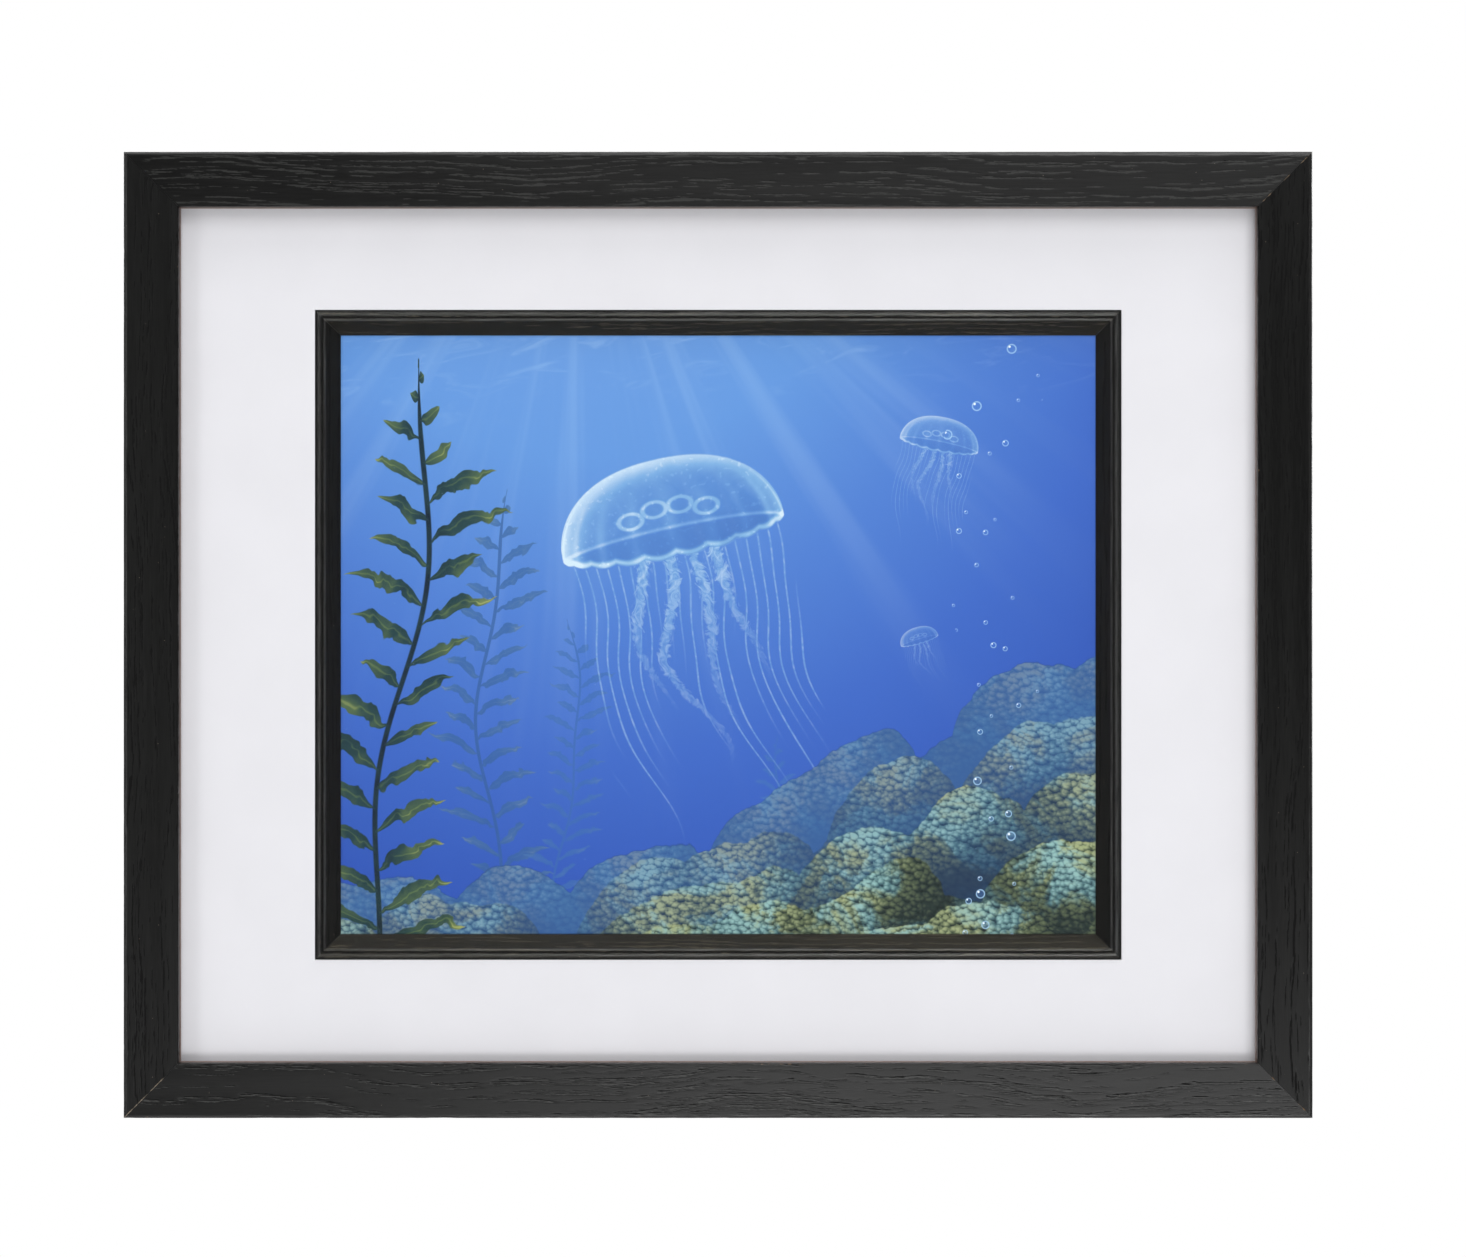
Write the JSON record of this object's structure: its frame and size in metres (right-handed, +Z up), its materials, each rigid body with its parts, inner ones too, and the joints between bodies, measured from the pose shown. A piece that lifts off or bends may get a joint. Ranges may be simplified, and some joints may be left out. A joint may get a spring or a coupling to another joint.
{
  "type": "framed picture",
  "caption": "Black wooden picture frame with mitred corners, a wide white mat, a stepped black slip round an underwater print, glass in front, and a sawtooth hanger behind.",
  "frame": {"origin": "middle of the sawtooth hanger's bridge, on the plane where it meets the wall", "axes": "+X to the right for a viewer in front of the picture, +Z up, +Y into the wall, so the picture faces -Y"},
  "size_m": [0.374, 0.023, 0.304],
  "materials": {
    "black_wood": "satin black stain on open-pored wood",
    "clear_glass": "clear",
    "mat_board": "matt white board",
    "print_paper": "semi-gloss colour print",
    "hardboard": "plain brown hardboard",
    "zinc_steel": "zinc plated",
    "soft_rubber": "matt black"
  },
  "bodies": {
    "root": {"rail_top": "black_wood", "rail_right": "black_wood", "rail_bottom": "black_wood", "rail_left": "black_wood", "slip_top": "black_wood", "slip_right": "black_wood", "slip_bottom": "black_wood", "slip_left": "black_wood", "glazing": "clear_glass", "mat": "mat_board", "print_sheet": "print_paper", "backing": "hardboard", "tab_top_1": "zinc_steel", "tab_top_2": "zinc_steel", "tab_top_3": "zinc_steel", "tab_right_1": "zinc_steel", "tab_right_2": "zinc_steel", "tab_bottom_1": "zinc_steel", "tab_bottom_2": "zinc_steel", "tab_bottom_3": "zinc_steel", "tab_left_1": "zinc_steel", "tab_left_2": "zinc_steel", "wedge_top_right": "zinc_steel", "wedge_bottom_right": "zinc_steel", "wedge_bottom_left": "zinc_steel", "wedge_top_left": "zinc_steel", "hanger": "zinc_steel", "nail_left": "zinc_steel", "nail_right": "zinc_steel", "bumper_left": "soft_rubber", "bumper_right": "soft_rubber"}
  },
  "joints": []
}
